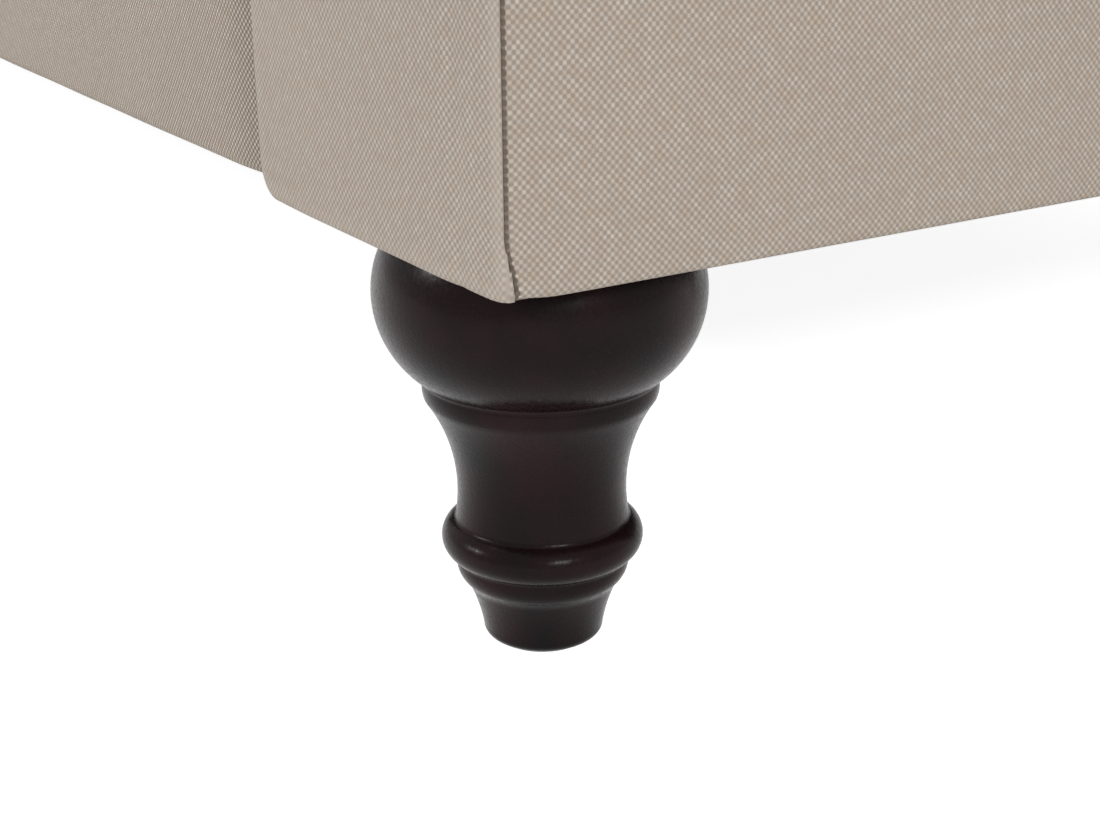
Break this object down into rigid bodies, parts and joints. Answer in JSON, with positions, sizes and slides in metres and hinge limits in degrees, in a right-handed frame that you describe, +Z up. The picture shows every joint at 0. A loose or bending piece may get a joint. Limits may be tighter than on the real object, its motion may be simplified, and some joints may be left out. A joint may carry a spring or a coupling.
{
  "type": "chesterfield sofa",
  "caption": "Long sofa with arms and back rolled at one height, diamond-buttoned inside, loose box cushions, a plain front rail and dark turned legs.",
  "frame": {"origin": "on the floor under the middle of the sofa", "axes": "+Z up, the seat faces -Y, +X towards the right arm as seen from the front"},
  "size_m": [2.13, 0.86, 0.72],
  "materials": {
    "sofa_fabric": "matt plain weave",
    "leg_paint": "satin dark espresso paint",
    "felt": "pressed felt",
    "steel": "zinc plated",
    "frame_wood": "bare planed hardwood",
    "fibre_board": "bare fibre board",
    "jute": "jute weave",
    "foam": "cut foam",
    "black_cloth": "spun lining cloth",
    "zip_tape": "woven zip tape"
  },
  "bodies": {
    "sofa": {"leg_front_right": "leg_paint", "leg_front_left": "leg_paint", "leg_rear_right": "leg_paint", "leg_rear_left": "leg_paint", "felt_pads": "felt", "leg_bolts": "steel", "leg_inserts": "steel", "corner_blocks": "frame_wood", "front_rail": "frame_wood", "rear_rail": "frame_wood", "side_rails": "frame_wood", "spring_rail": "frame_wood", "seat_braces": "frame_wood", "back_posts": "frame_wood", "arm_posts": "frame_wood", "back_top_rail": "frame_wood", "arm_top_rails": "frame_wood", "roll_formers": "frame_wood", "stuffing_rails": "frame_wood", "arm_front_board_right": "frame_wood", "arm_front_board_left": "frame_wood", "outside_back_board": "fibre_board", "outside_arm_boards": "fibre_board", "seat_springs": "steel", "spring_clips": "steel", "back_webbing": "jute", "arm_webbing": "jute", "deck_cloth": "jute", "deck_pad": "foam", "deck_cover": "sofa_fabric", "front_rail_pad": "foam", "front_rail_cover": "sofa_fabric", "back_foam": "foam", "arm_foam_right": "foam", "arm_foam_left": "foam", "inside_back": "sofa_fabric", "inside_arm_right": "sofa_fabric", "inside_arm_left": "sofa_fabric", "back_buttons": "sofa_fabric", "arm_buttons_right": "sofa_fabric", "arm_buttons_left": "sofa_fabric", "facing_pads": "foam", "arm_facing_right": "sofa_fabric", "arm_facing_left": "sofa_fabric", "outside_back_cover": "sofa_fabric", "outside_arm_cover_right": "sofa_fabric", "outside_arm_cover_left": "sofa_fabric", "dust_cover": "black_cloth"},
    "cushion_left": {"cushion_cover_left": "sofa_fabric", "cushion_core_left": "foam", "cushion_zip_left": "zip_tape"},
    "cushion_middle": {"cushion_cover_middle": "sofa_fabric", "cushion_core_middle": "foam", "cushion_zip_middle": "zip_tape"},
    "cushion_right": {"cushion_cover_right": "sofa_fabric", "cushion_core_right": "foam", "cushion_zip_right": "zip_tape"},
    "slider_left": {"zip_slider_left": "steel"},
    "slider_middle": {"zip_slider_middle": "steel"},
    "slider_right": {"zip_slider_right": "steel"}
  },
  "joints": [
    {"name": "cushion_left_lift", "type": "slide", "parent": "sofa", "child": "cushion_left", "axis": [0, 0, 1], "range_m": [0, 0.45]},
    {"name": "cushion_middle_lift", "type": "slide", "parent": "sofa", "child": "cushion_middle", "axis": [0, 0, 1], "range_m": [0, 0.45]},
    {"name": "cushion_right_lift", "type": "slide", "parent": "sofa", "child": "cushion_right", "axis": [0, 0, 1], "range_m": [0, 0.45]},
    {"name": "zip_left_run", "type": "slide", "parent": "cushion_left", "child": "slider_left", "axis": [1, 0, 0], "range_m": [0, 0.408]},
    {"name": "zip_middle_run", "type": "slide", "parent": "cushion_middle", "child": "slider_middle", "axis": [1, 0, 0], "range_m": [0, 0.408]},
    {"name": "zip_right_run", "type": "slide", "parent": "cushion_right", "child": "slider_right", "axis": [1, 0, 0], "range_m": [0, 0.408]}
  ]
}
